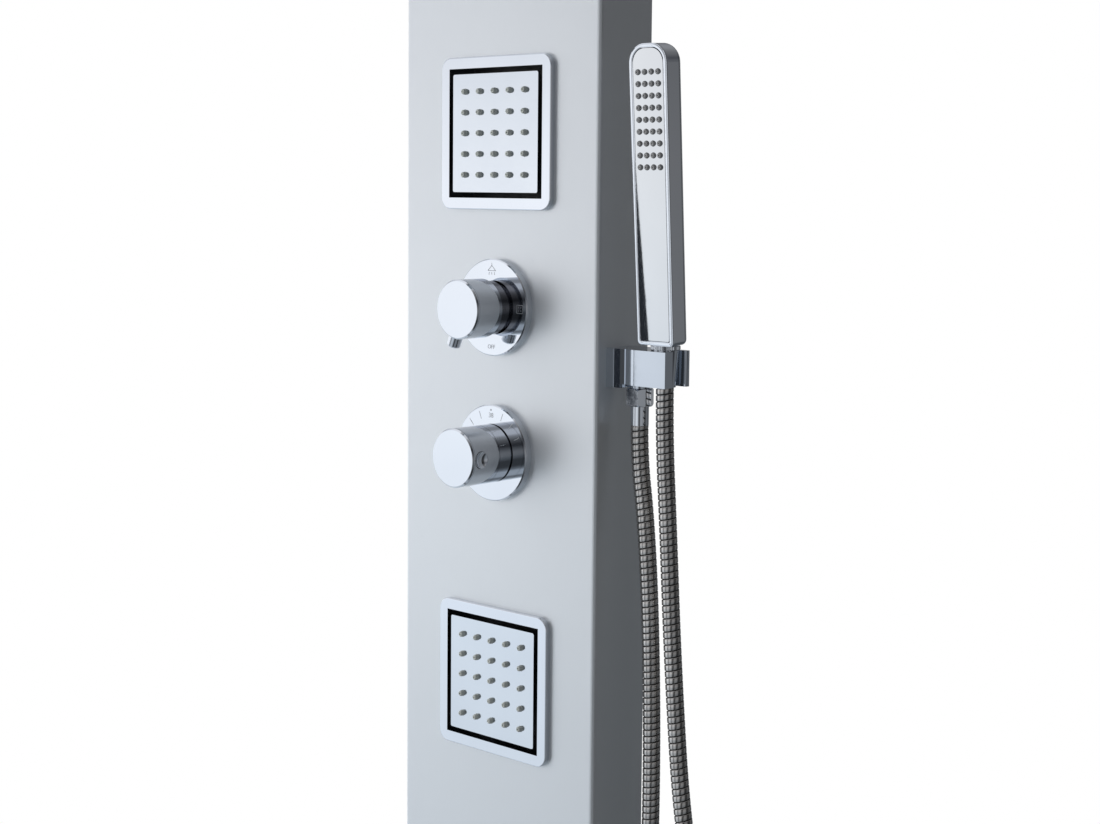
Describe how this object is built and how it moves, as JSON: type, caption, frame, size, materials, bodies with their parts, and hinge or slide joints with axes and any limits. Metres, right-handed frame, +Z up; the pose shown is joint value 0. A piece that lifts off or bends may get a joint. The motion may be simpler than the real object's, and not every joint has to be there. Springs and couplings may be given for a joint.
{
  "type": "shower panel column",
  "caption": "Wall-hung shower panel: satin sheet column with two square swivel body jets, diverter and thermostatic knobs, overhead shower, and a hand shower on a ribbed hose in a side fork.",
  "frame": {"origin": "middle of the upper wall bracket's two screw slots, on the wall face", "axes": "+X to the right as the user faces the panel, +Y into the wall, +Z up"},
  "size_m": [0.3756, 0.498, 1.5313],
  "materials": {
    "panel": "satin, fine vertical grain",
    "chrome": "polished",
    "dark_chrome": "polished, dark",
    "satin": "satin",
    "steel": "pressed sheet, plain",
    "brass": "turned, plain",
    "pipe": "drawn tube",
    "housing_plastic": "moulded, black",
    "nozzle_rubber": "grey-green silicone",
    "dark_rubber": "dark grey silicone",
    "hose_metal": "dark strip-wound metal, semi-bright"
  },
  "bodies": {
    "panel": {"column_shell": "panel", "top_cap": "panel", "bottom_cap": "panel", "upper_jet_frame": "chrome", "lower_jet_frame": "chrome", "diverter_escutcheon": "chrome", "thermostat_escutcheon": "chrome", "thermostat_ring": "chrome", "outlet_holder": "chrome", "hose_outlet_nut": "chrome", "hose_ferrule": "chrome", "rain_flange": "chrome", "rain_arm": "chrome", "rain_stem": "chrome", "diverter_collar": "dark_chrome", "upper_wall_bracket": "steel", "lower_wall_bracket": "steel", "upper_hanger_bar": "steel", "lower_hanger_bar": "steel", "hanger_rivets": "steel", "diverter_body": "brass", "mixer_body": "brass", "rain_fitting": "brass", "holder_lock_nut": "brass", "upper_jet_pipe": "pipe", "lower_jet_pipe": "pipe", "mixed_water_pipe": "pipe", "rain_pipe": "pipe", "handset_pipe": "pipe", "upper_jet_housing": "housing_plastic", "lower_jet_housing": "housing_plastic", "holder_washer": "dark_rubber", "shower_hose": "hose_metal"},
    "diverter_knob": {"diverter_knob": "chrome", "diverter_knob_cap": "chrome", "diverter_lever": "chrome", "diverter_spindle": "brass"},
    "thermostat_knob": {"thermostat_knob": "chrome", "thermostat_knob_cap": "chrome", "thermostat_spindle": "brass"},
    "release_button": {"release_button": "chrome"},
    "hose_cone": {"hose_cone": "chrome"},
    "handset": {"handset_shell": "chrome", "handset_plate": "chrome", "handset_nozzles": "dark_rubber", "handset_collar": "chrome"},
    "upper_jet_ball": {"upper_jet_ball": "brass"},
    "upper_jet_face": {"upper_jet_plate": "chrome", "upper_jet_chamber": "housing_plastic", "upper_jet_nozzles": "nozzle_rubber"},
    "lower_jet_ball": {"lower_jet_ball": "brass"},
    "lower_jet_face": {"lower_jet_plate": "chrome", "lower_jet_chamber": "housing_plastic", "lower_jet_nozzles": "nozzle_rubber"},
    "rain_ball": {"rain_ball": "brass"},
    "rain_head": {"rain_ball_nut": "chrome", "rain_head": "chrome", "rain_face": "satin", "rain_nozzles": "nozzle_rubber"}
  },
  "joints": [
    {"name": "diverter_turn", "type": "hinge", "parent": "panel", "child": "diverter_knob", "pos_m": [0, -0.058, -0.6195], "axis": [0, -1, 0], "continuous": true},
    {"name": "thermostat_turn", "type": "hinge", "parent": "panel", "child": "thermostat_knob", "pos_m": [0, -0.058, -0.729], "axis": [0, -1, 0], "range_deg": [-45, 150]},
    {"name": "button_press", "type": "slide", "parent": "thermostat_knob", "child": "release_button", "axis": [-1, 0, 0], "range_m": [0, 0.0025], "stiffness_N_per_m": 300, "springref_m": -0.002},
    {"name": "hose_lift", "type": "slide", "parent": "panel", "child": "hose_cone", "axis": [0, 0, 1], "range_m": [0, 0.06], "deforming": ["shower_hose"]},
    {"name": "handset_turn", "type": "hinge", "parent": "hose_cone", "child": "handset", "pos_m": [0.1422, -0.0325, -0.644], "axis": [0, 0, 1], "range_deg": [-90, 90]},
    {"name": "upper_jet_pan", "type": "hinge", "parent": "panel", "child": "upper_jet_ball", "pos_m": [0, -0.046, -0.49], "axis": [0, 0, 1], "range_deg": [-10, 10]},
    {"name": "upper_jet_tilt", "type": "hinge", "parent": "upper_jet_ball", "child": "upper_jet_face", "pos_m": [0, -0.046, -0.49], "axis": [1, 0, 0], "range_deg": [-10, 10]},
    {"name": "lower_jet_pan", "type": "hinge", "parent": "panel", "child": "lower_jet_ball", "pos_m": [0, -0.046, -0.904], "axis": [0, 0, 1], "range_deg": [-10, 10]},
    {"name": "lower_jet_tilt", "type": "hinge", "parent": "lower_jet_ball", "child": "lower_jet_face", "pos_m": [0, -0.046, -0.904], "axis": [1, 0, 0], "range_deg": [-10, 10]},
    {"name": "rain_swing", "type": "hinge", "parent": "panel", "child": "rain_ball", "pos_m": [0, -0.388, 0.015], "axis": [0, 1, 0], "range_deg": [-15, 15]},
    {"name": "rain_tilt", "type": "hinge", "parent": "rain_ball", "child": "rain_head", "pos_m": [0, -0.388, 0.015], "axis": [1, 0, 0], "range_deg": [-15, 15]}
  ]
}
